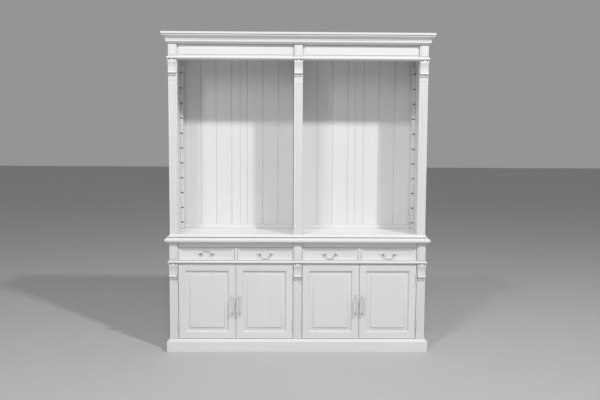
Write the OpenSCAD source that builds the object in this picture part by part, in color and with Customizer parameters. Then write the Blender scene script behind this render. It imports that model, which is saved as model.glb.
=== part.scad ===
// Painted two-part double bookcase cabinet: a base with four drawers over four doors,
// and an open hutch with two bays, fluted pilasters, frieze and cornice.
// Origin on the floor at the middle of the footprint. +X to the right, the front faces -Y, +Z up.

/* [Overall] */
// Width over the side panels and the outer pilasters
carcass_w = 1778; // [1500:1:2200]
// Height from the floor to the top of the cornice
overall_h = 2200; // [1800:1:2500]
// Height of the base unit with its moulded top
base_h = 800; // [720:1:960]
// Depth of the base from its back to the faces of its pilasters
base_d = 420; // [340:1:520]
// How far the hutch's pilaster faces stand behind the base's
hutch_setback = 25; // [0:1:60]

/* [Boards] */
// Thickness of the side panels
side_t = 22; // [18:0.5:30]
// Thickness of the two dividers
divider_t = 20; // [16:0.5:26]
// Thickness of the floor of the base
floor_t = 22; // [16:0.5:30]
// Thickness of the shelves in the cupboards
shelf_t = 18; // [14:0.5:25]
// Height of the cupboard shelves above the cupboard floor
shelf_rise = 250; // [150:1:320]
// How far the cupboard shelves stop behind the doors
shelf_inset = 60; // [20:1:120]
// Thickness of the panel that closes the back of the base
base_back_t = 12; // [6:0.5:18]
// Thickness of the dust boards under the drawers
dust_t = 12; // [8:0.5:16]
// Thickness of the roof board of the hutch
roof_t = 20; // [16:0.5:26]
// How far the roof board lies below the top of the cornice
roof_drop = 15; // [0:1:40]

/* [Pilasters and blocks] */
// Width of a pilaster
pilaster_w = 60; // [50:1:80]
// Thickness of a pilaster
pilaster_t = 22; // [18:0.5:30]
// Width of the blocks and corbels
block_w = 54; // [44:1:74]
// How far the blocks stand in front of the pilasters
block_t = 5; // [4:0.5:10]
// Width of the chamfer round a block's face
block_chamfer = 8; // [4:0.5:14]
// Depth of the chamfer round a block's face
block_chamfer_t = 1; // [0.5:0.1:1.4]
// Height of the raised field on a block
block_rise = 2.5; // [1:0.1:2.5]
// Distance between two flutes
flute_pitch = 16; // [13:0.5:20]
// Radius of a flute
flute_r = 5; // [3:0.5:6]
// How far the centre of a flute lies in front of the pilaster's face
flute_lift = 1.5; // [0:0.5:3]
// Height of a corbel
corbel_h = 108; // [90:1:150]
// How far the top of a corbel stands out
corbel_out = 12; // [10:0.5:18]
// How far the foot of the face of a corbel stands out, above its roll
corbel_in = 7; // [5:0.5:9]
// Radius of the roll at the foot of a corbel
roll_r = 8; // [6:0.5:10]
// Plain length of pilaster between a corbel and the flutes of the hutch
hutch_flute_drop = 34; // [2:1:60]
// How much lower the flutes of the middle pilaster of the hutch start
middle_flute_drop = 22; // [0:1:60]
// Plain length of pilaster between a corbel and the flutes of the base
base_flute_drop = 10; // [2:1:60]

/* [Mouldings] */
// Height of the plinth with its cap
plinth_h = 90; // [70:1:120]
// Height of the plinth's cap moulding
plinth_cap_h = 18; // [12:1:26]
// How far the plinth stands out
plinth_out = 19; // [14:0.5:26]
// Height of the astragal over the doors
bead_h = 18; // [14:0.5:24]
// Height of the astragal under the frieze
frieze_bead_h = 21; // [14:0.5:28]
// How far the astragals stand out from the blocks
bead_out = 9; // [7:0.5:14]
// Thickness of the moulded top of the base
top_t = 34; // [28:0.5:44]
// How far the top of the base stands out from the blocks
top_out = 26; // [18:0.5:34]
// Thickness of the moulded floor of the hutch
hutch_floor_t = 22; // [18:0.5:30]
// How far the floor of the hutch stands out
hutch_floor_out = 14; // [8:0.5:18]
// Height of the cornice
cornice_h = 74; // [60:1:100]
// How far the cornice stands out from the blocks
cornice_out = 40; // [30:0.5:52]
// Height of the frieze between its astragal and the cornice
frieze_h = 84; // [60:1:120]
// Width of the bevel round a frieze panel
frieze_bevel = 15; // [8:0.5:24]
// Height of the step where the bevel of a frieze panel meets its field
frieze_step = 3; // [1:0.1:3.5]
// How far the blocks stand in front of the frieze panels and drawer faces
block_step = 14; // [11:0.5:16]

/* [Drawers] */
// Height of the drawer opening
drawer_opening_h = 93; // [80:1:130]
// Height of the rail over the drawers
top_rail_h = 33; // [20:1:50]
// Width of the partition between two drawers
muntin_w = 20; // [16:0.5:30]
// Gap round a drawer front
drawer_gap = 1.2; // [0.8:0.1:2.5]
// Thickness of a drawer front
drawer_front_t = 24; // [18:0.5:30]
// Width of the bevel round a drawer's sunk field
drawer_bevel = 20; // [12:0.5:28]
// Width of the flat rim round a drawer's bevel
drawer_rim = 3; // [1:0.5:8]
// Depth of a drawer's sunk field
drawer_sink = 9; // [5:0.5:12]
// Space between a closed drawer and the back of the base
drawer_back_gap = 24; // [4:1:60]
// Height of a drawer box
drawer_box_h = 72; // [60:1:90]
// Thickness of a drawer's sides and back
drawer_side_t = 12; // [8:0.5:15]
// Thickness of a drawer's bottom
drawer_bottom_t = 6; // [4:0.5:9]
// Gap between a drawer box and what is beside it and under it
box_gap = 1; // [0.5:0.1:3]

/* [Doors] */
// Thickness of a door
door_t = 20; // [16:0.5:26]
// How far the doors lie behind the faces of the pilasters
door_recess = 0; // [0:0.5:2]
// Width of the flat face of a door's stiles
stile_w = 48; // [36:1:60]
// Width of the flat face of a door's rails
rail_w = 48; // [36:1:60]
// Width of the ovolo moulding round the inside of a door's frame
ovolo_w = 7; // [5:0.5:14]
// Depth of the ovolo moulding
ovolo_t = 9; // [5:0.5:10]
// Gap between a door and its pilaster
hinge_gap = 3; // [2.8:0.1:4]
// Gap between the two doors of a bay
meeting_gap = 2.4; // [2:0.1:4]
// Gap under a door
door_foot_gap = 2; // [1:0.1:4]
// Gap over a door
door_head_gap = 3; // [1:0.1:5]
// Thickness of a door panel at its field
panel_t = 14; // [10:0.5:16]
// Width of the bevel round a door panel
panel_bevel = 24; // [16:0.5:36]
// Fall of the bevel round a door panel
panel_fall = 4.5; // [3:0.5:5]
// Height of the step where the bevel meets the field
panel_step = 4.5; // [1:0.1:5]
// How far a door panel's field lies behind the door's face
panel_sink = 2; // [0:0.5:5]

/* [Hinges] */
// Length of a hinge's barrel
hinge_h = 60; // [45:1:80]
// Distance from a door's top or foot to the middle of its hinge
hinge_inset = 99; // [60:1:140]
// Radius of a hinge's barrel
knuckle_r = 3.8; // [3:0.1:4]
// Radius of a hinge's pin
hinge_pin_r = 2; // [1.5:0.1:2.2]
// Radial clearance of a pin in its knuckle
pin_play = 0.05; // [0.02:0.01:0.1]
// Thickness of a hinge's leaf
leaf_t = 1.2; // [0.8:0.1:1.3]
// Width of a hinge's leaf, from the barrel into the gap
leaf_w = 17; // [12:0.5:20]
// Radius of the ball on each end of a hinge's pin
finial_r = 3.4; // [2.6:0.1:4]

/* [Handles] */
// Distance between the posts of a drawer handle
post_span = 76; // [64:1:96]
// Distance from the field of a drawer to the axis of its bail
post_reach = 13; // [10:0.5:18]
// Radius of the eye that carries the bail
post_eye_r = 5; // [4:0.1:6]
// Radius of the pins on the bail
bail_pin_r = 1.9; // [1.5:0.1:2.2]
// Radius of the bail's bar
bail_r = 2.3; // [1.8:0.1:3]
// Drop of a bail from its axis to its grip
bail_drop = 28; // [20:0.5:30]
// Half the length of the straight grip of a bail
bail_grip = 19; // [10:0.5:20]
// Angle of the first drawer's bail, thrown up and lying back past upright
bail_up = 187; // [175:1:190]
// Length of a door pull over its leaves
pull_h = 158; // [130:1:190]
// Distance from the meeting edge of a door to its pull
pull_inset = 22; // [16:1:30]
// How far a door pull stands out
pull_out = 36; // [28:1:44]
// How far the middle of a door pull lies below the middle of its door
pull_drop = 20; // [0:1:60]
// Radius of the grip of a door pull
pull_r = 5.5; // [4:0.1:7]
// Thickness of the leaf plates under the handles
leaf_plate_t = 2.5; // [1.5:0.1:4]

/* [Hutch back and racks] */
// Thickness of the back boards
back_t = 12; // [8:0.5:16]
// How far the back boards lie in front of the back edges of the sides
back_inset = 6; // [0:0.5:12]
// Distance between two grooves of the back boards
groove_pitch = 115; // [80:1:150]
// Distance from the joint of two back boards to the first groove towards the divider
groove_inner = 54; // [30:1:75]
// Distance from the joint of two back boards to the first groove towards the side
groove_outer = 63; // [30:1:75]
// Gap between two back boards
board_gap = 1; // [0:0.5:2]
// Width of a groove in the back boards
groove_w = 6; // [3:0.5:9]
// Depth of a groove in the back boards
groove_d = 4; // [2:0.5:6]
// Height of the rail along the foot of the back
back_rail_h = 30; // [20:1:60]
// Thickness of the rail along the foot of the back
back_rail_t = 12; // [8:0.5:18]
// Width of a shelf rack
rack_w = 20; // [14:0.5:20]
// Depth of a back shelf rack
rack_back_d = 50; // [30:1:60]
// Depth of a front shelf rack
rack_front_d = 30; // [20:1:50]
// Distance between two notches of a rack
notch_pitch = 110; // [60:1:160]
// Height of a notch at its mouth
notch_h = 10; // [7:0.5:16]
// Depth of a notch
notch_d = 14; // [8:0.5:16]
// Height of the lowest notch above the floor of the hutch
notch_first = 44; // [30:1:120]

/* [Hidden] */
DOORS = [1, 2, 3, 4];

$fn = 48;
SLACK = 1;                 // how far a cutting shape runs past what it cuts
PAINT = "#EDEBE6";         // white paint on wood
METAL = "#E6E4DE";         // white paint on metal
BARE = "#D9C7A4";          // bare timber inside the drawers

half_w = carcass_w / 2;
inner_w = half_w - side_t;
front_reach = max(block_t + top_out, pull_out - door_recess);
frieze_out = block_t - block_step;
back_y = (base_d + front_reach) / 2;
base_y = back_y - base_d;
hutch_y = base_y + hutch_setback;
outer_x = half_w - pilaster_w / 2;
outer_block_x = half_w - block_w / 2;
pilaster_xs = [-outer_x, 0, outer_x];
block_xs = [-outer_block_x, 0, outer_block_x];
bay_in = pilaster_w / 2;
bay_out = half_w - pilaster_w;
bay_w = bay_out - bay_in;
bay_x = (bay_in + bay_out) / 2;

top_z = base_h - top_t;
drawer_top_z = top_z - top_rail_h;
drawer_z = drawer_top_z - drawer_opening_h;
waist_z = drawer_z - bead_h;
door_z = plinth_h + door_foot_gap;
door_top_z = waist_z - door_head_gap;
door_h = door_top_z - door_z;
door_w = (bay_w - 2 * hinge_gap - meeting_gap) / 2;
hutch_z = base_h + hutch_floor_t;
cornice_z = overall_h - cornice_h;
frieze_z = cornice_z - frieze_h;
frieze_bead_z = frieze_z - frieze_bead_h;
hutch_top_z = overall_h - roof_drop;
roof_z = hutch_top_z - roof_t;
face_back_y = base_y + pilaster_t;
base_back_y = back_y - base_back_t;
hutch_face_back_y = hutch_y + pilaster_t;
hutch_back_y = back_y - back_inset - back_t;

drawer_w = (bay_w - muntin_w) / 2;
drawer_x = bay_in + drawer_w / 2;
drawer_xs = [-bay_x - muntin_w / 2 - drawer_w / 2, -drawer_x, drawer_x,
             bay_x + muntin_w / 2 + drawer_w / 2];
drawer_mid_z = drawer_z + drawer_opening_h / 2;
drawer_face_y = base_y - frieze_out;
drawer_field_y = drawer_face_y + drawer_sink;
bail_y = drawer_field_y - post_reach;

door_face_y = base_y + door_recess;
door_flips = [0, 1, 0, 1];
door_edges = [-bay_out + hinge_gap, -bay_in - hinge_gap, bay_in + hinge_gap, bay_out - hinge_gap];
panel_w = door_w - 2 * (stile_w + ovolo_w);
panel_h = door_h - 2 * (rail_w + ovolo_w);
panel_edge_t = panel_t - panel_step - panel_fall;
hinge_y = base_y - knuckle_r - 0.7;
knuckle_h = hinge_h / 3;
knuckle_gap = 0.3;
hinge_zs = [door_z + hinge_inset, door_top_z - hinge_inset];

// Points of an arc round [cx, cz] from angle a0 to angle a1
function arc(cx, cz, r, a0, a1, steps = 8) =
    [for (i = [0:steps]) let (a = a0 + (a1 - a0) * i / steps) [cx + r * cos(a), cz + r * sin(a)]];

// A block between two corners
module slab(low, high) {
    translate(low)
        cube(high - low);
}

// A profile of [out, up] points, drawn in the YZ plane and run along X, out towards -Y
module run_x(points, length) {
    rotate([90, 0, 90])
        linear_extrude(height = length, center = true)
            polygon([for (p = points) [-p[0], p[1]]]);
}

// A board from half_width each side and from front to rear, with a profile on three edges
module moulded_board(profile, half_width, front, rear) {
    low = profile[0][1];
    high = profile[len(profile) - 1][1];
    out = max([for (p = profile) p[0]]);
    side = [for (p = profile) [half_width + p[0], p[1]]];
    other = [for (i = [len(side) - 1:-1:0]) [-side[i][0], side[i][1]]];
    intersection() {
        translate([0, rear, 0])
            rotate([90, 0, 0])
                linear_extrude(height = rear - front + out)
                    polygon(concat(side, other));
        translate([0, front, 0])
            run_x(concat([[front - rear, low]], profile, [[front - rear, high]]),
                  2 * (half_width + out + SLACK));
    }
}

// A moulding round the front and both sides, with its inside cut out
module moulding(profile, half_width, front, inside_front) {
    low = profile[0][1];
    high = profile[len(profile) - 1][1];
    difference() {
        moulded_board(profile, half_width, front, back_y);
        slab([-half_w, inside_front, low - SLACK], [half_w, back_y + SLACK, high + SLACK]);
    }
}

// A plate on the plane y = 0, standing t forward, with a bevel round its face
module fielded_plate(w, h, t, bevel, fall) {
    intersection() {
        linear_extrude(height = h, center = true)
            polygon([[-w / 2, 0], [-w / 2, fall - t], [bevel - w / 2, -t],
                     [w / 2 - bevel, -t], [w / 2, fall - t], [w / 2, 0]]);
        run_x([[0, -h / 2], [t - fall, -h / 2], [t, bevel - h / 2],
               [t, h / 2 - bevel], [t - fall, h / 2], [0, h / 2]], w + SLACK);
    }
}

// A rounded nose between two heights, out from the plane
function nose(low, high, out) =
    let (r = (high - low) / 2)
    arc(out - r, low + r, r, -90, 90, 10);

// --- base unit ---

// The edge of the plinth from below: the fascia, a quarter round, a fillet and a cove
function plinth_profile() =
    let (cap_z = plinth_h - plinth_cap_h, cap_r = 6, cove_h = plinth_cap_h - cap_r - 1)
    concat([[plinth_out, 0], [plinth_out, cap_z]],
           arc(plinth_out - cap_r, cap_z, cap_r, 0, 90, 6),
           [[plinth_out - cap_r - 1, cap_z + cap_r], [plinth_out - cap_r - 1, cap_z + cap_r + 1]],
           [for (i = [0:6]) let (a = 90 * i / 6)
               [1 + (plinth_out - cap_r - 2) * (1 - sin(a)), cap_z + cap_r + 1 + cove_h * (1 - cos(a))]]);

module plinth() {
    color(PAINT)
        moulding(plinth_profile(), half_w, base_y, base_y);
}

module base_sides() {
    color(PAINT)
        for (s = [0, 1])
            mirror([s, 0, 0])
                slab([inner_w, face_back_y, 0], [half_w, back_y, top_z]);
}

module base_divider() {
    color(PAINT)
        slab([-divider_t / 2, face_back_y, plinth_h], [divider_t / 2, base_back_y, top_z]);
}

module base_floor() {
    color(PAINT)
        slab([-inner_w, face_back_y, plinth_h - floor_t], [inner_w, base_back_y, plinth_h]);
}

module base_back() {
    color(PAINT)
        slab([-inner_w, base_back_y, plinth_h - floor_t], [inner_w, back_y, top_z]);
}

module face_rails() {
    color(PAINT)
        for (s = [0, 1])
            mirror([s, 0, 0]) {
                slab([bay_in, base_y, plinth_h - floor_t], [bay_out, face_back_y, plinth_h]);
                slab([bay_in, base_y, waist_z], [bay_out, face_back_y, drawer_z]);
                slab([bay_in, base_y - frieze_out + 2, drawer_top_z], [bay_out, face_back_y, top_z]);
            }
}

module drawer_partitions() {
    nose_r = muntin_w / 2;
    color(PAINT)
        for (s = [-1, 1])
            translate([s * bay_x, 0, drawer_z]) {
                slab([-nose_r, base_y - frieze_out, 0], [nose_r, base_back_y, drawer_opening_h]);
                translate([0, base_y - frieze_out, 0])
                    intersection() {
                        translate([0, nose_r * 0.6, 0])
                            cylinder(r = nose_r * sqrt(1.36), h = drawer_opening_h);
                        slab([-nose_r, -nose_r, 0], [nose_r, 0, drawer_opening_h]);
                    }
            }
}

module dust_boards() {
    color(PAINT)
        for (s = [0, 1])
            mirror([s, 0, 0])
                slab([divider_t / 2, face_back_y, drawer_z - dust_t], [inner_w, base_back_y, drawer_z]);
}

module base_shelves() {
    low = plinth_h + shelf_rise;
    color(PAINT)
        for (s = [0, 1])
            mirror([s, 0, 0])
                slab([divider_t / 2, door_face_y + door_t + shelf_inset, low],
                     [inner_w, base_back_y, low + shelf_t]);
}

// The edge of the base's top from below: a cove, a flat tip and a quarter round
function top_profile() =
    let (cove = 12, tip = 8, tip_z = top_z + cove, round_r = top_t - cove - tip - 1)
    concat([[0, top_z], [2, top_z]],
           arc(top_out - 3, top_z, cove, 172, 100, 6),
           [[top_out, tip_z], [top_out, tip_z + tip]],
           arc(top_out - round_r, tip_z + tip, round_r, 0, 90, 8),
           [[top_out - round_r - 1, base_h]]);

module base_top() {
    color(PAINT)
        moulded_board(top_profile(), half_w, base_y - block_t, back_y);
}

// A pilaster board with three flutes that end in a round at the top
module pilaster(low, high, flute_top) {
    difference() {
        slab([-pilaster_w / 2, 0, low], [pilaster_w / 2, pilaster_t, high]);
        for (i = [-1:1])
            translate([i * flute_pitch, -flute_lift, low - SLACK]) {
                cylinder(r = flute_r, h = flute_top - low + SLACK);
                translate([0, 0, flute_top - low + SLACK])
                    sphere(r = flute_r);
            }
    }
}

module base_pilasters() {
    color(PAINT)
        for (x = pilaster_xs)
            translate([x, base_y, 0])
                pilaster(0, top_z, waist_z - corbel_h - base_flute_drop);
}

// A block on the plane y = 0, h high: a plate with a raised field
module block(h) {
    field_w = block_w - 2 * block_chamfer;
    field_h = h - 2 * block_chamfer;
    fielded_plate(block_w, h, block_t - block_rise, block_chamfer, block_chamfer_t);
    slab([-field_w / 2, -block_t, -field_h / 2], [field_w / 2, 0, field_h / 2]);
}

module base_blocks() {
    h = top_z - drawer_z;
    color(PAINT)
        for (x = block_xs)
            translate([x, base_y, drawer_z + h / 2])
                block(h);
}

// A corbel that hangs below z = 0: a swelling face, a roll, and a tongue under it
module corbel() {
    face_z = 3 * roll_r - corbel_h;
    roll_z = face_z - roll_r * 0.6;
    roll_out = max(corbel_in, roll_r);
    brow = 4;
    steps = 10;
    face = [for (i = [0:steps]) let (t = i / steps)
        [corbel_out - (corbel_out - corbel_in) * (1 - cos(90 * t)), -brow + (face_z + brow) * t]];
    run_x(concat([[0, 0], [corbel_out, 0]], face,
                 [[corbel_in, roll_z], [4, roll_z - roll_r], [3, 4 - corbel_h], [0, -corbel_h]]),
          block_w);
    translate([0, -roll_out, roll_z])
        rotate([0, 90, 0])
            cylinder(r = roll_r, h = block_w, center = true);
}

module base_corbels() {
    color(PAINT)
        for (x = block_xs)
            translate([x, base_y, waist_z])
                corbel();
}

function bead_profile(low, high) =
    concat([[0, low]], nose(low + 2, high - 1, bead_out), [[0, high]]);

module waist_bead() {
    color(PAINT)
        moulding(bead_profile(waist_z, drawer_z), half_w, base_y - block_t, base_y);
}

// --- hinges ---

// Puts a shape drawn round a hinge axis on door n at height z, its pilaster on the -X side
module at_hinge(n, z) {
    flip = door_flips[n - 1];
    translate([door_edges[n - 1] + (flip * 2 - 1) * hinge_gap / 2, hinge_y, z])
        mirror([flip, 0, 0])
            children();
}

// The frame's half of a hinge: two end knuckles on the pin, its balls, and the leaf
module frame_leaf() {
    wall_x = -hinge_gap / 2;
    end_z = (hinge_h - knuckle_h) / 2;
    cylinder(r = hinge_pin_r, h = hinge_h, center = true);
    for (s = [-1, 1]) {
        translate([0, 0, s * end_z])
            cylinder(r = knuckle_r, h = knuckle_h - knuckle_gap, center = true);
        translate([0, 0, s * (hinge_h / 2 + finial_r - 0.6)])
            sphere(r = finial_r);
        translate([0, 0, s * end_z])
            slab([wall_x, 0, knuckle_gap - knuckle_h / 2],
                 [wall_x + leaf_t, knuckle_r + 1, knuckle_h / 2 - knuckle_gap]);
    }
    slab([wall_x, knuckle_r + 0.5, knuckle_gap - hinge_h / 2],
         [wall_x + leaf_t, leaf_w, hinge_h / 2 - knuckle_gap]);
}

// The door's half of a hinge: the middle knuckle, bored for the pin, and the leaf
module door_leaf() {
    wall_x = hinge_gap / 2;
    difference() {
        union() {
            cylinder(r = knuckle_r, h = knuckle_h - knuckle_gap, center = true);
            slab([wall_x - leaf_t, 0, knuckle_gap - knuckle_h / 2],
                 [wall_x, knuckle_r + 1, knuckle_h / 2 - knuckle_gap]);
            slab([wall_x - leaf_t, knuckle_r + 0.5, knuckle_gap - hinge_h / 2],
                 [wall_x, leaf_w, hinge_h / 2 - knuckle_gap]);
        }
        cylinder(r = hinge_pin_r + pin_play, h = hinge_h, center = true);
    }
}

module hinge_frame_leaves() {
    color(METAL)
        for (n = DOORS)
            for (z = hinge_zs)
                at_hinge(n, z)
                    frame_leaf();
}

module door_leaves(n) {
    color(METAL)
        for (z = hinge_zs)
            at_hinge(n, z)
                door_leaf();
}

// --- doors ---

// Puts a shape drawn with the hinge edge at x = 0, the face on y = 0 and the foot at z = 0
module at_door(n) {
    translate([door_edges[n - 1], door_face_y, door_z])
        mirror([door_flips[n - 1], 0, 0])
            children();
}

// An outline of half of an opening, from the face back: an ovolo, then the straight edge
function ovolo(half) =
    concat([[half + ovolo_w, -SLACK], [half + ovolo_w, 0], [half + ovolo_w - 1, 0.2]],
           [for (i = [1:8]) let (a = 90 * i / 8)
               [half + (ovolo_w - 1) * cos(a), 0.2 + (ovolo_t - 0.2) * sin(a)]],
           [[half, door_t + SLACK]]);

// The two sides of a symmetric outline
function both_sides(half) =
    concat(half, [for (i = [len(half) - 1:-1:0]) [-half[i][0], half[i][1]]]);

module door_frame(n) {
    tongue = 8;
    groove_y = panel_sink + panel_t;
    color(PAINT)
        at_door(n)
            difference() {
                slab([0, 0, 0], [door_w, door_t, door_h]);
                translate([door_w / 2, 0, door_h / 2]) {
                    intersection() {
                        linear_extrude(height = door_h, center = true)
                            polygon(both_sides(ovolo(panel_w / 2)));
                        rotate([0, 90, 0])
                            linear_extrude(height = door_w, center = true)
                                polygon(both_sides(ovolo(panel_h / 2)));
                    }
                    slab([-panel_w / 2 - tongue, groove_y - panel_edge_t, -panel_h / 2 - tongue],
                         [panel_w / 2 + tongue, groove_y, panel_h / 2 + tongue]);
                }
            }
}

module door_panel(n) {
    tongue = 7;
    play = 0.3;
    color(PAINT)
        at_door(n)
            translate([door_w / 2, panel_sink + panel_t, door_h / 2]) {
                slab([-panel_w / 2 - tongue, -panel_edge_t, -panel_h / 2 - tongue],
                     [panel_w / 2 + tongue, 0, panel_h / 2 + tongue]);
                fielded_plate(panel_w - 2 * play, panel_h - 2 * play, panel_t - panel_step,
                              panel_bevel - play, panel_fall);
                slab([panel_bevel - panel_w / 2, -panel_t, panel_bevel - panel_h / 2],
                     [panel_w / 2 - panel_bevel, 0, panel_h / 2 - panel_bevel]);
            }
}

// A pointed leaf in the XZ plane, standing t forward of y = 0, its length along X
module leaf_plate(length, width, t) {
    r = (length * length + width * width) / (4 * width);
    rotate([90, 0, 0])
        linear_extrude(height = t)
            intersection() {
                translate([0, r - width / 2])
                    circle(r = r);
                translate([0, width / 2 - r])
                    circle(r = r);
            }
}

// A quarter of a ring in the XY plane, from +X to +Y
module quarter_ring(ring_r, bar_r) {
    rotate_extrude(angle = 90)
        translate([ring_r, 0])
            circle(r = bar_r);
}

module door_pull(n) {
    leaf_l = 36;
    leaf_wide = 19;
    bend = 10;
    swell_r = 7.5;
    post_z = (pull_h - leaf_l) / 2;
    grip_y = swell_r - pull_out;
    color(METAL)
        at_door(n)
            translate([door_w - pull_inset, 0, door_h / 2 - pull_drop]) {
                translate([0, grip_y, 0])
                    cylinder(r = pull_r, h = 2 * (post_z - bend), center = true);
                translate([0, grip_y, -post_z * 0.45])
                    sphere(r = swell_r);
                for (s = [0, 1])
                    mirror([0, 0, s]) {
                        translate([0, grip_y + bend, post_z - bend])
                            rotate([90, 0, -90])
                                quarter_ring(bend, pull_r);
                        translate([0, 0, post_z])
                            rotate([90, 0, 0])
                                cylinder(r = pull_r, h = -grip_y - bend);
                        translate([0, 0, post_z])
                            rotate([0, 90, 0])
                                leaf_plate(leaf_l, leaf_wide, leaf_plate_t);
                    }
            }
}

// --- drawers ---

module drawer_front(n) {
    w = drawer_w - 2 * drawer_gap;
    h = drawer_opening_h - 2 * drawer_gap;
    field_w = w - 2 * drawer_rim;
    field_h = h - 2 * drawer_rim;
    color(PAINT)
        translate([drawer_xs[n - 1], drawer_face_y, drawer_mid_z])
            difference() {
                slab([-w / 2, 0, -h / 2], [w / 2, drawer_front_t, h / 2]);
                intersection() {
                    linear_extrude(height = field_h, center = true)
                        polygon([[-field_w / 2, -SLACK], [-field_w / 2, 0],
                                 [drawer_bevel - field_w / 2, drawer_sink],
                                 [field_w / 2 - drawer_bevel, drawer_sink],
                                 [field_w / 2, 0], [field_w / 2, -SLACK]]);
                    run_x([[SLACK, -field_h / 2], [SLACK, field_h / 2], [0, field_h / 2],
                           [-drawer_sink, field_h / 2 - drawer_bevel],
                           [-drawer_sink, drawer_bevel - field_h / 2], [0, -field_h / 2]], field_w);
                }
            }
}

module drawer_box(n) {
    w = drawer_w - 2 * box_gap;
    front = drawer_face_y + drawer_front_t;
    rear = base_back_y - drawer_back_gap;
    foot = drawer_z + box_gap;
    color(BARE)
        translate([drawer_xs[n - 1], 0, foot])
            difference() {
                slab([-w / 2, front, 0], [w / 2, rear, drawer_box_h]);
                slab([drawer_side_t - w / 2, front - SLACK, drawer_bottom_t],
                     [w / 2 - drawer_side_t, rear - drawer_side_t, drawer_box_h + SLACK]);
            }
}

module drawer_posts(n) {
    neck_r = 3.4;
    leaf_l = 36;
    leaf_wide = 21;
    color(METAL)
        translate([drawer_xs[n - 1], drawer_field_y, drawer_mid_z])
            for (s = [0, 1])
                mirror([s, 0, 0])
                    translate([post_span / 2, 0, 0])
                        difference() {
                            union() {
                                translate([6, 0, 0])
                                    leaf_plate(leaf_l, leaf_wide, leaf_plate_t);
                                rotate([90, 0, 0])
                                    cylinder(r = neck_r, h = post_reach - post_eye_r * 0.6);
                                translate([0, -post_reach, 0])
                                    rotate([0, 90, 0])
                                        cylinder(r = post_eye_r, h = 2 * post_eye_r, center = true);
                            }
                            translate([0, -post_reach, 0])
                                rotate([0, 90, 0])
                                    cylinder(r = bail_pin_r + pin_play, h = 3 * post_eye_r, center = true);
                        }
}

// A bail that hangs from its axis along X
module bail() {
    shoulder = 5;
    pin_in = post_span / 2 - post_eye_r - 1.5;
    leg_x = pin_in - shoulder;
    bend = leg_x - bail_grip;
    for (s = [0, 1])
        mirror([s, 0, 0]) {
            translate([pin_in, 0, 0])
                rotate([0, 90, 0])
                    cylinder(r = bail_pin_r, h = 2 * post_eye_r);
            translate([pin_in, 0, -shoulder])
                rotate([90, -90, 0])
                    quarter_ring(shoulder, bail_r);
            translate([leg_x, 0, bend - bail_drop])
                cylinder(r = bail_r, h = bail_drop - bend - shoulder);
            translate([bail_grip, 0, bend - bail_drop])
                rotate([90, 90, 0])
                    quarter_ring(bend, bail_r);
        }
    translate([0, 0, -bail_drop])
        rotate([0, 90, 0])
            cylinder(r = bail_r, h = 2 * bail_grip, center = true);
}

module drawer_bail(n) {
    color(METAL)
        translate([drawer_xs[n - 1], bail_y, drawer_mid_z])
            rotate([n == 1 ? -bail_up : 0, 0, 0])
                bail();
}

// --- hutch ---

function hutch_floor_profile() =
    let (z = base_h, out = hutch_floor_out)
    concat([[out - 6, z], [out - 6, z + 4], [out, z + 4], [out, z + 8]],
           arc(out, z + 8 + out * 0.9, out * 0.9, 270, 185, 6),
           [[0, hutch_z]]);

module hutch_floor() {
    color(PAINT)
        moulded_board(hutch_floor_profile(), half_w, hutch_y, back_y);
}

module hutch_sides() {
    color(PAINT)
        for (s = [0, 1])
            mirror([s, 0, 0])
                slab([inner_w, hutch_face_back_y, hutch_z], [half_w, back_y, hutch_top_z]);
}

module hutch_divider() {
    color(PAINT)
        slab([-divider_t / 2, hutch_face_back_y, hutch_z], [divider_t / 2, hutch_back_y, roof_z]);
}

module hutch_roof() {
    color(PAINT)
        slab([-inner_w, hutch_face_back_y, roof_z], [inner_w, back_y, hutch_top_z]);
}

module hutch_pilasters() {
    flute_top = frieze_bead_z - corbel_h - hutch_flute_drop;
    color(PAINT)
        for (x = pilaster_xs)
            translate([x, hutch_y, 0])
                pilaster(hutch_z, hutch_top_z, x == 0 ? flute_top - middle_flute_drop : flute_top);
}

module hutch_blocks() {
    color(PAINT)
        for (x = block_xs)
            translate([x, hutch_y, frieze_z + frieze_h / 2])
                block(frieze_h);
}

module hutch_corbels() {
    color(PAINT)
        for (x = block_xs)
            translate([x, hutch_y, frieze_bead_z])
                corbel();
}

module frieze_panels() {
    board_t = pilaster_t + frieze_out;
    fall = 5;
    rear_t = 3;
    color(PAINT)
        for (s = [-1, 1])
            translate([s * bay_x, hutch_y, 0]) {
                slab([-bay_w / 2, 0, frieze_bead_z], [bay_w / 2, pilaster_t, frieze_z]);
                slab([-bay_w / 2, 0, cornice_z], [bay_w / 2, pilaster_t, hutch_top_z]);
                slab([-bay_w / 2, pilaster_t - rear_t, frieze_bead_z],
                     [bay_w / 2, pilaster_t, hutch_top_z]);
                translate([0, pilaster_t, frieze_z + frieze_h / 2]) {
                    fielded_plate(bay_w, frieze_h, board_t - frieze_step, frieze_bevel, fall);
                    slab([frieze_bevel - bay_w / 2, -board_t, frieze_bevel - frieze_h / 2],
                         [bay_w / 2 - frieze_bevel, 0, frieze_h / 2 - frieze_bevel]);
                }
            }
}

module frieze_bead() {
    color(PAINT)
        moulding(bead_profile(frieze_bead_z, frieze_z), half_w, hutch_y - block_t, hutch_y);
}

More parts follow.
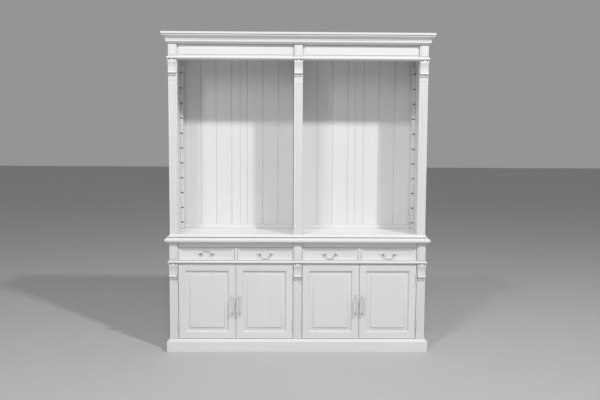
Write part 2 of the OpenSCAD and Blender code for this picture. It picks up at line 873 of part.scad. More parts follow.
// The cornice from below: a quarter round, a fillet, a cove, a bead and the top fascia
function cornice_profile() =
    let (z = cornice_z, fillet = 13, bead = 5, fascia = 14,
         neck = cornice_out * 0.36, ovolo = neck - 1.5, cove_top = overall_h - fascia - 2 * bead - 2,
         cove_low = z + ovolo + fillet, cove_out = cornice_out - 9)
    concat([[1, z], [2, z]],
           arc(neck, z, neck - 2, 180, 90, 6),
           [[neck, z + ovolo], [neck, cove_low]],
           [for (i = [0:8]) let (a = 90 * i / 8)
               [neck + 2 + (cove_out - neck - 2) * (1 - cos(a)), cove_low + (cove_top - cove_low) * sin(a)]],
           arc(cove_out, cove_top + bead, bead, -80, 80, 8),
           [[cornice_out - 6, overall_h - fascia - 2], [cornice_out - 6, overall_h - fascia],
            [cornice_out, overall_h - fascia], [cornice_out, overall_h - 1], [cornice_out - 1, overall_h]]);

module cornice() {
    color(PAINT)
        moulding(cornice_profile(), half_w, hutch_y - block_t, hutch_y);
}

// A back board from x0 to x1 with a groove at each of xs
module grooved_board(x0, x1, xs) {
    difference() {
        slab([x0, hutch_back_y, hutch_z], [x1, hutch_back_y + back_t, roof_z]);
        for (x = xs)
            translate([x, hutch_back_y, hutch_z - SLACK])
                linear_extrude(height = roof_z - hutch_z + 2 * SLACK)
                    polygon([[-groove_w / 2, -0.01], [0, groove_d], [groove_w / 2, -0.01]]);
    }
}

module back_boards() {
    margin = 25;
    inner_count = floor((bay_x - groove_inner - margin) / groove_pitch);
    outer_count = floor((inner_w - bay_x - groove_outer - margin) / groove_pitch);
    color(PAINT)
        for (s = [0, 1])
            mirror([s, 0, 0]) {
                grooved_board(board_gap / 2, bay_x - board_gap / 2,
                              [for (i = [0:inner_count]) bay_x - groove_inner - i * groove_pitch]);
                grooved_board(bay_x + board_gap / 2, inner_w,
                              [for (i = [0:outer_count]) bay_x + groove_outer + i * groove_pitch]);
            }
}

module back_rails() {
    color(PAINT)
        for (s = [0, 1])
            mirror([s, 0, 0])
                slab([divider_t / 2 + rack_w, hutch_back_y - back_rail_t, hutch_z],
                     [inner_w - rack_w, hutch_back_y, hutch_z + back_rail_h]);
}

// A shelf rack on x0 that runs back from y0 by d, its saw-tooth notches cut in at notch_y
// towards the inside, which way says
module rack(x0, y0, d, notch_y, way) {
    first = hutch_z + notch_first;
    count = floor((frieze_bead_z - first - notch_h) / notch_pitch);
    difference() {
        slab([x0, y0, hutch_z], [x0 + rack_w, y0 + d, frieze_bead_z]);
        for (i = [0:count])
            translate([x0 + rack_w / 2, notch_y, first + i * notch_pitch])
                run_x([[way * SLACK, 0], [-way * notch_d, 0], [-way * notch_d, notch_h * 0.4],
                       [0, notch_h], [way * SLACK, notch_h]], rack_w + 2 * SLACK);
    }
}

module shelf_racks() {
    front_y = hutch_face_back_y;
    back_rack_y = hutch_back_y - rack_back_d;
    color(PAINT)
        for (s = [0, 1])
            mirror([s, 0, 0])
                for (x = [divider_t / 2, inner_w - rack_w]) {
                    rack(x, front_y, rack_front_d, front_y + rack_front_d, -1);
                    rack(x, back_rack_y, rack_back_d, back_rack_y, 1);
                }
}

plinth();
base_sides();
base_divider();
base_floor();
base_back();
face_rails();
drawer_partitions();
dust_boards();
base_shelves();
base_top();
base_pilasters();
base_blocks();
base_corbels();
waist_bead();
hinge_frame_leaves();
hutch_floor();
hutch_sides();
hutch_divider();
hutch_roof();
hutch_pilasters();
hutch_blocks();
hutch_corbels();
frieze_panels();
frieze_bead();
cornice();
back_boards();
back_rails();
shelf_racks();
drawer_front(1);  // drawer_1_front
drawer_box(1);  // drawer_1_box
drawer_posts(1);  // drawer_1_posts
drawer_bail(1);  // drawer_1_bail
drawer_front(2);  // drawer_2_front
drawer_box(2);  // drawer_2_box
drawer_posts(2);  // drawer_2_posts
drawer_bail(2);  // drawer_2_bail
drawer_front(3);  // drawer_3_front
drawer_box(3);  // drawer_3_box
drawer_posts(3);  // drawer_3_posts
drawer_bail(3);  // drawer_3_bail
drawer_front(4);  // drawer_4_front
drawer_box(4);  // drawer_4_box
drawer_posts(4);  // drawer_4_posts
drawer_bail(4);  // drawer_4_bail
door_frame(1);  // door_1_frame
door_panel(1);  // door_1_panel
door_pull(1);  // door_1_pull
door_leaves(1);  // door_1_leaves
door_frame(2);  // door_2_frame
door_panel(2);  // door_2_panel
door_pull(2);  // door_2_pull
door_leaves(2);  // door_2_leaves
door_frame(3);  // door_3_frame
door_panel(3);  // door_3_panel
door_pull(3);  // door_3_pull
door_leaves(3);  // door_3_leaves
door_frame(4);  // door_4_frame
door_panel(4);  // door_4_panel
door_pull(4);  // door_4_pull
door_leaves(4);  // door_4_leaves
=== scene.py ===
from math import cos, pi, radians, sin

import bmesh
import bpy
from mathutils import Matrix, Vector


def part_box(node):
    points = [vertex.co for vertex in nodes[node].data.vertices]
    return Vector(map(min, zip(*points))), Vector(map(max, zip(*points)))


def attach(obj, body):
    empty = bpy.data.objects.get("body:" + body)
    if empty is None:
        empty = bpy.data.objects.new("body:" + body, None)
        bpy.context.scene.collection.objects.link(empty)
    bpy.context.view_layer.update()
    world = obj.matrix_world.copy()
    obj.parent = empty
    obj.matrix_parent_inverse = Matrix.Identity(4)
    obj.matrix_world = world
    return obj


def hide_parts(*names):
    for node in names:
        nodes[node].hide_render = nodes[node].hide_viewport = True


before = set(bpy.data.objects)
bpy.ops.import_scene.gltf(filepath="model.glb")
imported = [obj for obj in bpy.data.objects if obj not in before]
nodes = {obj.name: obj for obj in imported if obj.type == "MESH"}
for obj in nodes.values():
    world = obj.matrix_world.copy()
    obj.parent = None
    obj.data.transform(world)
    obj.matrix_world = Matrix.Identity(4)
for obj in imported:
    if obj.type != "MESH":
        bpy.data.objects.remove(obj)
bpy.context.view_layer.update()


# The boards of the base: two side panels, a divider, a floor, shelves and a back, of painted
# timber. They are cut square and their arrises are rubbed down before painting, so each board
# is a copy of its node with whole faces and eased long edges.
class Tone:
    """One socket of a finish. Sums and products written on it become Math nodes."""

    def __init__(self, finish, socket):
        self.finish = finish
        self.socket = socket

    def math(self, operation, first, second):
        settings = {"operation": operation, "use_clamp": False}
        return self.finish.node("Math", settings, {0: first, 1: second})

    def __add__(self, other):
        return self.math("ADD", self, other)

    def __rsub__(self, other):
        return self.math("SUBTRACT", other, self)

    def __mul__(self, other):
        return self.math("MULTIPLY", self, other)

    __radd__ = __add__
    __rmul__ = __mul__


class Finish:
    """A material whose nodes are added one at a time."""

    def __init__(self, name, roughness, specular):
        self.material = bpy.data.materials.new(name)
        self.material.use_nodes = True
        self.nodes = self.material.node_tree.nodes
        self.shader = self.nodes["Principled BSDF"]
        self.feed(self.shader, {"Roughness": roughness, "Specular IOR Level": specular})
        self.place = self.node("TexCoord", out="Object")

    def feed(self, node, sockets):
        for key, value in sockets.items():
            if isinstance(value, Tone):
                self.material.node_tree.links.new(value.socket, node.inputs[key])
            else:
                node.inputs[key].default_value = value

    def node(self, kind, settings={}, sockets={}, out=0):
        made = self.nodes.new("ShaderNode" + kind)
        for key, value in settings.items():
            if key == "stops":
                for stop, (at, shade) in zip(made.color_ramp.elements, value):
                    stop.position = at
                    stop.color = (shade, shade, shade, 1)
            else:
                setattr(made, key, value)
        self.feed(made, sockets)
        return Tone(self, made.outputs[out])

    def noise(self, stretch, detail=3.0, rough=0.55, place=None):
        across = self.node("Mapping", {}, {0: place or self.place, 3: stretch})
        return self.node("TexNoise", {}, {"Vector": across, "Scale": 1.0, "Detail": detail,
                                          "Roughness": rough})

    def mix(self, factor, first, second):
        """Two colours, the second where the factor is 1."""
        return self.node("Mix", {"data_type": "RGBA"}, {0: factor, 6: first, 7: second}, out=2)

    def ramp(self, tone, low, high):
        """0 up to low, 1 from high."""
        return self.node("MapRange", {"interpolation_type": "SMOOTHSTEP"},
                         {"Value": tone, "From Min": low, "From Max": high})

    def crevice(self, reach):
        """1 in a corner or a groove, 0 in the open, from ambient occlusion, used for painted
        shade.
        """
        return 1 - self.node("AmbientOcclusion", {"samples": 6}, {"Distance": reach}, out="AO")

    def relief(self, height, depth):
        """Sets how deep the height's ups and downs stand."""
        bump = self.node("Bump", {}, {"Height": height, "Strength": 1.0, "Distance": depth})
        self.feed(self.shader, {"Normal": bump})


def brushed_paint(name, grain, grain_depth=0.6, shade_strength=0.85, reach=0.008):
    """White eggshell paint, brushed along the grain, with the timber just showing through.
    Painted shade darkens its corners and grooves, out to reach, at the strength that is passed
    in."""
    finish = Finish(name, 0.4, 0.42)
    along, across = 4.0, 420.0
    strokes = {axis: tuple(along if a == axis else across for a in "xyz") for axis in "xyz"}
    fibres = {axis: tuple(2.2 if a == axis else 55.0 for a in "xyz") for axis in "xyz"}
    if grain == "round":
        facing = finish.node("SeparateXYZ", {}, {0: finish.node("TexCoord", out="Normal")})
        turned_out = finish.node("Math", {"operation": "ABSOLUTE"}, {0: facing})
        sideways = finish.ramp(turned_out, 0.6, 0.8)
        ends = 1 - sideways
        brush = finish.noise(strokes["x"]) * ends + finish.noise(strokes["y"]) * sideways
        fibre = finish.noise(fibres["x"]) * ends + finish.noise(fibres["y"]) * sideways
    else:
        brush = finish.noise(strokes[grain])
        fibre = finish.noise(fibres[grain], 5.0, 0.62)
    mottle = finish.noise((2.6, 2.6, 2.6), 4.0, 0.6)
    speck = finish.ramp(finish.noise((310.0, 310.0, 310.0), 2.0, 0.5), 0.70, 0.78)
    crevice = finish.crevice(reach)
    dull = (finish.ramp(mottle, 0.3, 0.75) * 0.5 + finish.ramp(fibre, 0.42, 0.7) * 0.35
            + speck * 0.3)
    fresh_white, dull_white = (0.815, 0.815, 0.81, 1), (0.765, 0.763, 0.752, 1)
    # Painted shade: in corners, grooves and recesses the occlusion mask mixes the white toward
    # this dark grey.
    painted_shade_colour = (0.27, 0.26, 0.24, 1)
    clean = finish.mix(dull, fresh_white, dull_white)
    with_painted_shade = finish.mix(finish.ramp(crevice, 0.27, 0.75) * shade_strength, clean, painted_shade_colour)
    finish.feed(finish.shader, {
        "Base Color": with_painted_shade,
        "Roughness": 0.36 + mottle * 0.1 + brush * 0.06 + crevice * 0.15,
    })
    finish.relief(brush * 0.2 + fibre * grain_depth + speck * 0.2, 0.00012)
    return finish.material


upright_paint = brushed_paint("upright_paint", "z")
crosswise_paint = brushed_paint("crosswise_paint", "x")
depthwise_paint = brushed_paint("depthwise_paint", "y")


weld = 0.00001


def whole(name, rails=()):
    """A node's mesh with the triangles of each flat face joined. The stretch of it between the
    two x of rails, if there are any, takes the second paint."""
    bm = bmesh.new()
    bm.from_mesh(nodes[name].data)
    bmesh.ops.remove_doubles(bm, verts=bm.verts, dist=weld)
    for x in rails:
        bmesh.ops.bisect_plane(bm, plane_co=(x, 0, 0), plane_no=(1, 0, 0), dist=weld,
                               geom=bm.verts[:] + bm.edges[:] + bm.faces[:])
    for face in bm.faces:
        x = face.calc_center_median().x
        face.material_index = int(bool(rails) and rails[0] < x < rails[1])
    bmesh.ops.dissolve_limit(bm, angle_limit=radians(0.5), verts=bm.verts, edges=bm.edges,
                             delimit={"MATERIAL"})
    return bm


def fit(bm, name, body, paints, stands_for=(), arris=0.0, crease=32.0):
    """Makes the mesh a piece of a body, with its long edges rounded to the arris. Faces that
    meet at more than the crease are shaded apart."""
    shortest_rubbed = 0.012
    weight = bm.edges.layers.float.new("bevel_weight_edge")
    for face in bm.faces:
        face.smooth = True
    for edge in bm.edges:
        turned = not edge.is_manifold or edge.calc_face_angle(0.0) > radians(crease)
        edge.smooth = not turned
        edge[weight] = 1.0 if turned and edge.calc_length() > shortest_rubbed else 0.0
    mesh = bpy.data.meshes.new(name)
    bm.to_mesh(mesh)
    bm.free()
    piece = bpy.data.objects.new(name, mesh)
    bpy.context.scene.collection.objects.link(piece)
    for paint in paints:
        mesh.materials.append(paint)
    if arris:
        rub = piece.modifiers.new("rubbed_arris", "BEVEL")
        rub.limit_method = "WEIGHT"
        rub.width = arris
        rub.segments = 3
        rub.use_clamp_overlap = False
        rub.harden_normals = True
    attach(piece, body)
    if stands_for:
        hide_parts(*stands_for)
    return piece


for board, paint in {
    "base_sides": upright_paint, "base_divider": upright_paint, "base_floor": crosswise_paint,
    "base_shelves": crosswise_paint, "dust_boards": crosswise_paint,
    "drawer_partitions": upright_paint,
}.items():
    fit(whole(board), board + "_timber", "root", [paint], [board], arris=0.0012)
fit(whole("base_back"), "base_back_board", "root", [upright_paint], ["base_back"],
    arris=0.001)

# The face of the base: rails between the pilasters, and three pilasters with three flutes
# each, of painted timber. The flutes are run with a round cutter that lifts out at the top.
fit(whole("face_rails"), "face_rails_timber", "root", [crosswise_paint], ["face_rails"],
    arris=0.0012)
for part in ("base", "hutch"):
    fit(whole(part + "_pilasters"), part + "_pilasters_timber", "root", [upright_paint],
        [part + "_pilasters"], arris=0.0009, crease=38)

# The mouldings: plinth, astragals, the moulded top, the floor of the hutch and the cornice.
# Each is run along its length and mitred at the corners, so its lines stay crisp.
round_paint = brushed_paint("round_paint", "round")
for run in ("plinth", "waist_bead", "base_top", "hutch_floor", "frieze_bead", "cornice"):
    fit(whole(run), run + "_moulding", "root", [round_paint], [run], crease=24)

# The blocks over the corbels and the frieze panels: timber with worked bevels.
for part in ("base_blocks", "hutch_blocks", "frieze_panels"):
    fit(whole(part), part + "_timber", "root", [crosswise_paint], [part], arris=0.0009)


# The corbels: six carved brackets under the astragals, each with a smooth curved face notched
# at its head, a roll at the foot, and a pointed leaf between two hollow lobes under the roll.
corbel_wide = 0.054
corbel_tall = 0.108
corbel_out = 0.012
brow_out = 0.003
waist_out = 0.004
roll_r = 0.008
notch_x = 0.016
notch_wide = 0.007
notch_tall = 0.009
notch_deep = 0.007
sunk_margin = 0.003
sunk_deep = 0.0018
brow_low = 0.003
# Carved pieces and the notched racks take a stronger painted shade in their hollows and
# undercuts.
carved_paint = brushed_paint("carved_paint", "z", shade_strength=0.95, reach=0.01)


def leaf(bm, place, length, width, rise, turn, hollow=False):
    """A pointed leaf on the XZ plane, ribbed or hollow, its length turned from X."""
    made = bmesh.ops.create_uvsphere(bm, u_segments=20, v_segments=12, radius=1.0,
                                     matrix=Matrix.Rotation(pi / 2, 4, "Y"))
    for vert in made["verts"]:
        u, t, v = vert.co.x, vert.co.y, vert.co.z
        narrowing = (1 - u * u) ** 0.35 if abs(u) < 1 else 0.0
        rib = 0.72 + 0.28 * cos(min(abs(v) * 3.4, pi)) + 0.06 * cos(u * 15)
        if hollow:
            rib = 0.1 + 1.7 * (u * u * 0.5 + v * v)
        vert.co = Vector((u * length / 2, min(t, 0.0) * rise * rib, v * narrowing * width / 2))
    bmesh.ops.rotate(bm, verts=made["verts"], matrix=Matrix.Rotation(turn, 3, "Y"))
    bmesh.ops.translate(bm, verts=made["verts"], vec=place)
    return made["verts"]


def carve_corbel(bm, x, y, z):
    """Adds a corbel whose back is on y and whose head is at z."""
    body = bmesh.new()
    roll_z = -corbel_tall + 2.4 * roll_r
    steps = 14
    outline = [(0.0, 0.0), (corbel_out, 0.0)]
    for i in range(steps + 1):
        t = i / steps
        fall = min(max((t - 0.1) / 0.7, 0.0), 1.0)
        brow = brow_out * sin(pi * min(t / 0.35, 1.0))
        out = corbel_out + brow - (corbel_out - waist_out) * fall * fall * (3 - 2 * fall)
        outline.append((out, -brow_low + (roll_z + 3 * brow_low) * t))
    outline += [(waist_out, roll_z), (0.0, roll_z - 0.004)]
    half = corbel_wide / 2
    side = body.faces.new([body.verts.new((-half, -out, up)) for out, up in outline])
    grown = bmesh.ops.extrude_face_region(body, geom=[side])["geom"]
    bmesh.ops.translate(body, vec=(corbel_wide, 0, 0),
                        verts=[v for v in grown if isinstance(v, bmesh.types.BMVert)])
    bmesh.ops.recalc_face_normals(body, faces=body.faces)
    bmesh.ops.bisect_plane(body, geom=body.verts[:] + body.edges[:] + body.faces[:],
                           plane_co=(0, 0, -notch_tall), plane_no=(0, 0, 1))
    for at in (-1, 1):
        for edge in (-1, 1):
            bmesh.ops.bisect_plane(body, geom=body.verts[:] + body.edges[:] + body.faces[:],
                                   plane_co=(at * notch_x + edge * notch_wide / 2, 0, 0),
                                   plane_no=(1, 0, 0))
    front = [f for f in body.faces if f.normal.y < -0.2
             and abs(f.calc_center_median().x) < notch_x + notch_wide / 2]
    heads = [f for f in front if f.calc_center_median().z > -notch_tall
             and abs(f.calc_center_median().x) > notch_x - notch_wide / 2]
    sunk = [f for f in front if f.calc_center_median().z < -notch_tall]
    bmesh.ops.inset_region(body, faces=sunk, thickness=sunk_margin, depth=-sunk_deep,
                           use_boundary=True, use_even_offset=True)
    bmesh.ops.inset_region(body, faces=heads, thickness=0.0004, depth=-notch_deep,
                           use_boundary=True, use_even_offset=True)
    bmesh.ops.create_cone(body, cap_ends=True, segments=32, radius1=roll_r, radius2=roll_r,
                          depth=corbel_wide, matrix=Matrix.Translation((0, -roll_r, roll_z))
                          @ Matrix.Rotation(pi / 2, 4, "Y"))
    leaf(body, (0, 0, roll_z - 0.008), 0.036, 0.046, 0.006, pi / 2)
    for lobe in (-1, 1):
        leaf(body, (lobe * 0.016, -0.001, roll_z - roll_r - 0.003), 0.021, 0.022, 0.014, 0, True)
    bmesh.ops.translate(body, verts=body.verts, vec=(x, y, z))
    carved = bpy.data.meshes.new("carved")
    body.to_mesh(carved)
    body.free()
    bm.from_mesh(carved)
    bpy.data.meshes.remove(carved)


for part, bead in (("base", "waist_bead"), ("hutch", "frieze_bead")):
    low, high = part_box(part + "_corbels")
    carving = bmesh.new()
    for x in (low.x + corbel_wide / 2, 0.0, high.x - corbel_wide / 2):
        carve_corbel(carving, x, high.y, high.z)
    fit(carving, part + "_corbels_carved", "root", [carved_paint], [part + "_corbels"],
        arris=0.0006, crease=40)

# The hutch: side panels, a divider and a roof board of timber, four V-grooved boards at the
# back with a rail along their foot, and notched racks in the corners that carried shelves.
for board, paint in {
    "hutch_sides": upright_paint, "hutch_divider": upright_paint, "hutch_roof": crosswise_paint,
    "back_rails": crosswise_paint, "shelf_racks": carved_paint,
}.items():
    fit(whole(board), board + "_timber", "root", [paint], [board], arris=0.0011)
# The grooved back boards take a weaker painted shade in their grooves.
lining_paint = brushed_paint("lining_paint", "z", 1.1, shade_strength=0.4)
fit(whole("back_boards"), "back_boards_grooved", "root", [lining_paint], ["back_boards"],
    arris=0.0006)

# The drawers: a painted front with a sunk field, and a box of bare timber that slides on the
# dust board.
bare = Finish("bare_timber", 0.6, 0.3)
rings = bare.noise((26.0, 1.4, 26.0), 6.0, 0.62)
pores = bare.noise((900.0, 26.0, 900.0), 2.0, 0.6)
bare.feed(bare.shader, {
    "Base Color": bare.mix(bare.ramp(rings, 0.34, 0.66) * 0.8 + pores * 0.2,
                           (0.70, 0.53, 0.32, 1), (0.50, 0.33, 0.17, 1)),
    "Roughness": 0.55 + rings * 0.12,
})
bare.relief(rings * 0.4 + pores * 0.6, 0.0003)
for n in range(1, 5):
    drawer = f"drawer_{n}"
    fit(whole(drawer + "_front"), drawer + "_face", drawer, [crosswise_paint],
        [drawer + "_front"], arris=0.001)
    fit(whole(drawer + "_box"), drawer + "_tray", drawer, [bare.material], [drawer + "_box"],
        arris=0.0009)

# The doors: stiles and rails with an ovolo moulding round a raised and fielded panel, all of
# painted timber. The rails lie between the stiles, with their brush marks across.
stile = 0.055
for n in range(1, 5):
    door = f"door_{n}"
    low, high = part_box(door + "_frame")
    fit(whole(door + "_frame", (low.x + stile, high.x - stile)), door + "_joinery", door,
        [upright_paint, crosswise_paint], [door + "_frame"], arris=0.001)
    fit(whole(door + "_panel"), door + "_fielded_panel", door, [upright_paint],
        [door + "_panel"], arris=0.0009)

# The hinges: butt hinges of painted metal, whose barrels stand in the gap between door and
# pilaster, with a ball on each end of the pin.
metal = Finish("painted_metal_coat", 0.3, 0.5)
pits = metal.noise((240.0, 240.0, 240.0), 3.0, 0.6)
cloud = metal.noise((24.0, 24.0, 24.0), 3.0, 0.5)
# Painted shade: the occlusion mask darkens the metal near black in its hollows and where it meets
# other parts, to outline it.
hollow = metal.crevice(0.006)
coat = metal.mix(metal.ramp(cloud, 0.3, 0.8) * 0.6,
                 (0.70, 0.695, 0.685, 1), (0.58, 0.575, 0.56, 1))
metal.feed(metal.shader, {
    "Base Color": metal.mix(metal.ramp(hollow, 0.15, 0.75) * 0.9, coat, (0.10, 0.095, 0.085, 1)),
    "Roughness": 0.27 + cloud * 0.1 + hollow * 0.2,
})
metal.relief(pits, 0.0003)
metal_coat = metal.material
fit(whole("hinge_frame_leaves"), "hinge_barrels", "root", [metal_coat], ["hinge_frame_leaves"],
    crease=40)
for n in range(1, 5):
    fit(whole(f"door_{n}_leaves"), f"door_{n}_hinge_knuckles", f"door_{n}", [metal_coat],
        [f"door_{n}_leaves"], crease=40)


# The drawer handles: two cast leaf plates with a turned post on each, and a bail that swings in
# the eyes of the posts, whose outer ends are coloured near black as painted shade. The bail of
# the first drawer is thrown up.
def edges_of(geom):
    return [e for e in geom if isinstance(e, bmesh.types.BMEdge)]


def ring(bm, centre, normal, radius, sides=14):
    """An open ring of edges, to be run out into a bar."""
    turn = Vector((0, 0, 1)).rotation_difference(Vector(normal)).to_matrix().to_4x4()
    made = bmesh.ops.create_circle(bm, cap_ends=False, segments=sides, radius=radius,
                                   matrix=Matrix.Translation(centre) @ turn)
    return list({e for v in made["verts"] for e in v.link_edges})


def run(bm, edges, vec, swell=1.0):
    """Runs the ring straight on by vec, with its radius changed by swell."""
    grown = bmesh.ops.extrude_edge_only(bm, edges=edges)["geom"]
    verts = [v for v in grown if isinstance(v, bmesh.types.BMVert)]
    bmesh.ops.translate(bm, verts=verts, vec=vec)
    middle = sum((v.co for v in verts), Vector()) / len(verts)
    bmesh.ops.scale(bm, verts=verts, vec=(swell, swell, swell), space=Matrix.Translation(-middle))
    return edges_of(grown)


def bend(bm, edges, centre, axis, angle, steps=7):
    """Turns the ring on round a centre."""
    made = bmesh.ops.spin(bm, geom=edges, cent=centre, axis=axis, angle=angle, steps=steps,
                          use_duplicate=False)
    return edges_of(made["geom_last"])


def turned(bm, profile, foot, axis, sides=24):
    """A turned piece from [radius, height] points, standing on foot along the axis."""
    line = [bm.verts.new((r, 0, h)) for r, h in profile]
    edges = [bm.edges.new(pair) for pair in zip(line, line[1:])]
    bmesh.ops.spin(bm, geom=line + edges, cent=(0, 0, 0), axis=(0, 0, 1), angle=2 * pi,
                   steps=sides, use_merge=True, use_duplicate=False)
    verts = {v for e in edges if e.is_valid for v in e.verts}
    grown = set(verts)
    while verts:
        verts = {e.other_vert(v) for v in verts for e in v.link_edges} - grown
        grown |= verts
    turn = Vector((0, 0, 1)).rotation_difference(Vector(axis)).to_matrix().to_4x4()
    bmesh.ops.transform(bm, verts=list(grown), matrix=Matrix.Translation(foot) @ turn)


def closed(bm):
    """Welds the mesh's seams and turns its faces outward."""
    bmesh.ops.remove_doubles(bm, verts=bm.verts, dist=weld)
    bmesh.ops.recalc_face_normals(bm, faces=bm.faces)
    return bm


post_span = 0.076
post_reach = 0.013
bail_drop = 0.028
bail_grip = 0.019
bail_r = 0.0023
bail_up = radians(187)
eye_r = 0.005
pin_bare = 0.0015
post_tip_shade_reach = 0.0075
# Painted shade: the outer ends of the turned posts, beyond this reach from the drawer face, are
# coloured near black with a little random variation.
post_tip_shade = Finish("post_tip_painted_shade", 0.45, 0.5)
post_tip_shade_spots = post_tip_shade.noise((400.0, 400.0, 400.0), 3.0, 0.6)
post_tip_shade.feed(post_tip_shade.shader, {
    "Base Color": post_tip_shade.mix(post_tip_shade.ramp(post_tip_shade_spots, 0.4, 0.7), (0.13, 0.12, 0.11, 1),
                           (0.24, 0.23, 0.21, 1)),
})
for n in range(1, 5):
    drawer = f"drawer_{n}"
    low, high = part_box(drawer + "_front")
    x, z = (low.x + high.x) / 2, (low.z + high.z) / 2
    field_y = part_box(drawer + "_posts")[1].y
    posts = bmesh.new()
    for hand in (-1, 1):
        post_x = x + hand * post_span / 2
        leaf(posts, (post_x + hand * 0.006, field_y, z), 0.040, 0.025, 0.0045, 0)
        turned(posts, [(0, 0), (0.0058, 0.0005), (0.0062, 0.0030), (0.0042, 0.0042),
                       (0.0034, 0.0060), (0.0030, 0.0080), (0.0046, 0.0092), (0.0050, 0.0105),
                       (0.0050, 0.0140), (0.0040, 0.0168), (0.0018, 0.0180), (0, 0.0182)],
               (post_x, field_y, z), (0, -1, 0))
    closed(posts)
    for face in posts.faces:
        face.material_index = int(field_y - face.calc_center_median().y > post_tip_shade_reach)
    fit(posts, drawer + "_handle_posts", drawer, [metal_coat, post_tip_shade.material],
        [drawer + "_posts"], crease=50)
    hoop = bmesh.new()
    pin_x = post_span / 2 - eye_r - pin_bare
    shoulder = 0.005
    leg_x = pin_x - shoulder
    corner = leg_x - bail_grip
    edges = ring(hoop, (0, 0, -bail_drop), (1, 0, 0), bail_r * 1.35)
    for step, swell in ((0.0035, 0.97), (0.0035, 0.93), (0.004, 0.9), (0.002, 0.94),
                        (0.0004, 1.35), (0.0016, 1.0), (0.0004, 0.72)):
        edges = run(hoop, edges, (step, 0, 0), swell)
    edges = run(hoop, edges, (bail_grip - 0.0154, 0, 0))
    edges = bend(hoop, edges, (bail_grip, 0, corner - bail_drop), (0, 1, 0), -pi / 2)
    edges = run(hoop, edges, (0, 0, bail_drop - corner - shoulder), 0.95)
    edges = bend(hoop, edges, (pin_x, 0, -shoulder), (0, 1, 0), pi / 2)
    edges = run(hoop, edges, (2 * eye_r, 0, 0), 0.85)
    bmesh.ops.edgeloop_fill(hoop, edges=edges)
    bmesh.ops.mirror(hoop, geom=hoop.verts[:] + hoop.edges[:] + hoop.faces[:], axis="X",
                     merge_dist=weld)
    closed(hoop)
    if n == 1:
        bmesh.ops.rotate(hoop, verts=hoop.verts, matrix=Matrix.Rotation(-bail_up, 3, "X"))
    bmesh.ops.translate(hoop, verts=hoop.verts, vec=(x, field_y - post_reach, z))
    fit(hoop, drawer + "_swan_bail", f"bail_{n}", [metal_coat], [drawer + "_bail"],
        crease=50)

# The door pulls: cast handles of painted metal beside the meeting edges, with a turned grip
# that has ring beads near its foot, and a leaf plate at each end.
pull_tall = 0.158
pull_leaf = 0.036
pull_r = 0.0055
elbow = 0.010
swell_r = 0.0075
for n in range(1, 5):
    low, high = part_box(f"door_{n}_pull")
    x, z = (low.x + high.x) / 2, (low.z + high.z) / 2
    face_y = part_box(f"door_{n}_frame")[0].y
    grip_y = low.y + swell_r
    arm_z = (pull_tall - pull_leaf) / 2
    pull = bmesh.new()
    edges = ring(pull, (0, 0, arm_z), (0, -1, 0), pull_r * 1.25)
    edges = run(pull, edges, (0, -0.004, 0), 0.7)
    edges = run(pull, edges, (0, grip_y - face_y + elbow + 0.004, 0), 1.1)
    bend(pull, edges, (0, grip_y - face_y + elbow, arm_z - elbow), (1, 0, 0), pi / 2, 8)
    bmesh.ops.mirror(pull, geom=pull.verts[:] + pull.edges[:] + pull.faces[:], axis="Z",
                     merge_dist=weld)
    closed(pull)
    turned(pull, [(0, -0.052), (0.0054, -0.0515), (0.0064, -0.050), (0.0064, -0.047),
                  (0.0050, -0.0455), (0.0048, -0.038), (0.0062, -0.0365), (0.0070, -0.0335),
                  (0.0062, -0.0305), (0.0050, -0.0300), (0.0062, -0.0290), (0.0072, -0.0265),
                  (0.0062, -0.0235), (0.0049, -0.0225), (0.0047, -0.010), (0.0058, 0.012),
                  (0.0060, 0.024), (0.0048, 0.042), (0.0064, 0.0435), (0.0064, 0.047),
                  (0.0056, 0.0485), (0.0050, 0.052), (0, 0.0522)],
           (0, grip_y - face_y, 0), (0, 0, 1))
    for end in (-1, 1):
        leaf(pull, (0, 0, end * arm_z), pull_leaf, 0.019, 0.0034, pi / 2)
        leaf(pull, (0, 0, end * (arm_z - 0.002)), pull_leaf * 0.6, 0.013, 0.0055, pi / 2)
    closed(pull)
    bmesh.ops.translate(pull, verts=pull.verts, vec=(x, face_y, z))
    fit(pull, f"door_{n}_cast_pull", f"door_{n}", [metal_coat], [f"door_{n}_pull"],
        crease=50)

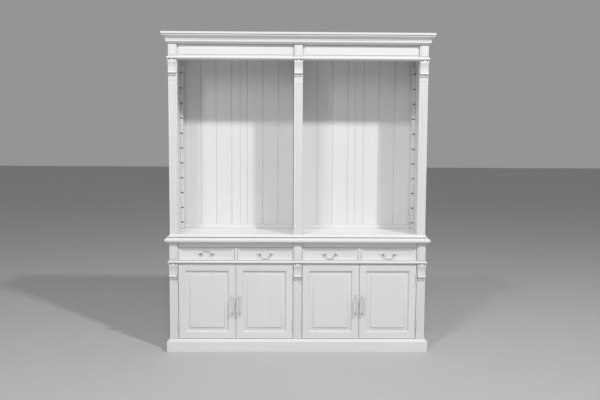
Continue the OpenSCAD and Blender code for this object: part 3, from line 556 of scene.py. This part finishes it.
# The studio: a pale floor without an edge in view, a tall soft light on the left, three soft
# lights high in front, a pale surround, and a camera at standing height before the cabinet.
floor_mesh = bmesh.new()
bmesh.ops.create_grid(floor_mesh, x_segments=1, y_segments=1, size=60)
floor_data = bpy.data.meshes.new("studio_floor")
floor_mesh.to_mesh(floor_data)
floor_mesh.free()
studio_floor = bpy.data.objects.new("studio_floor", floor_data)
bpy.context.scene.collection.objects.link(studio_floor)
pale = Finish("studio_floor_paint", 0.7, 0.2)
pale.feed(pale.shader, {
    "Base Color": pale.mix(pale.noise((1.2, 1.2, 1.2)),
                           (0.50, 0.50, 0.50, 1), (0.53, 0.53, 0.53, 1)),
})
floor_data.materials.append(pale.material)

world = bpy.data.worlds.new("studio")
world.use_nodes = True
world.node_tree.nodes["Background"].inputs["Color"].default_value = (1.0, 1.0, 1.0, 1)
world.node_tree.nodes["Background"].inputs["Strength"].default_value = 0.30
bpy.context.scene.world = world

lit_middle = Vector((0, 0, 1.2))
for place, wide, tall, power in (
    ((-2.26, -4.26, 3.35), 0.6, 1.8, 36),
    ((-1.71, -4.36, 6.5), 0.4, 0.4, 82),
    ((0.0, -4.36, 6.5), 0.4, 0.4, 68),
    ((3.29, -4.36, 6.5), 0.4, 0.4, 270),
):
    box_light = bpy.data.lights.new("soft_box", "AREA")
    box_light.shape = "RECTANGLE"
    box_light.size = wide
    box_light.size_y = tall
    box_light.energy = power
    lamp = bpy.data.objects.new("soft_box", box_light)
    lamp.location = place
    lamp.rotation_mode = "QUATERNION"
    lamp.rotation_quaternion = (lit_middle - lamp.location).to_track_quat("-Z", "Y")
    bpy.context.scene.collection.objects.link(lamp)
bpy.context.scene.view_settings.view_transform = "Standard"

eye = Vector((-0.0454, -4.5212, 1.3845))
pitch, yaw, roll = radians(4.22), radians(0.78), radians(0.276)
ahead = Vector((sin(yaw) * cos(pitch), cos(yaw) * cos(pitch), -sin(pitch)))
level = Vector((cos(yaw), -sin(yaw), 0))
upward = level.cross(ahead)
right = level * cos(roll) + upward * sin(roll)
upward = upward * cos(roll) - level * sin(roll)
lens = bpy.data.cameras.new("view")
lens.sensor_width = 36
lens.lens = 37.8
camera = bpy.data.objects.new("view", lens)
camera.matrix_world = Matrix((
    (right.x, upward.x, -ahead.x, eye.x),
    (right.y, upward.y, -ahead.y, eye.y),
    (right.z, upward.z, -ahead.z, eye.z),
    (0, 0, 0, 1),
))
bpy.context.scene.collection.objects.link(camera)
bpy.context.scene.camera = camera
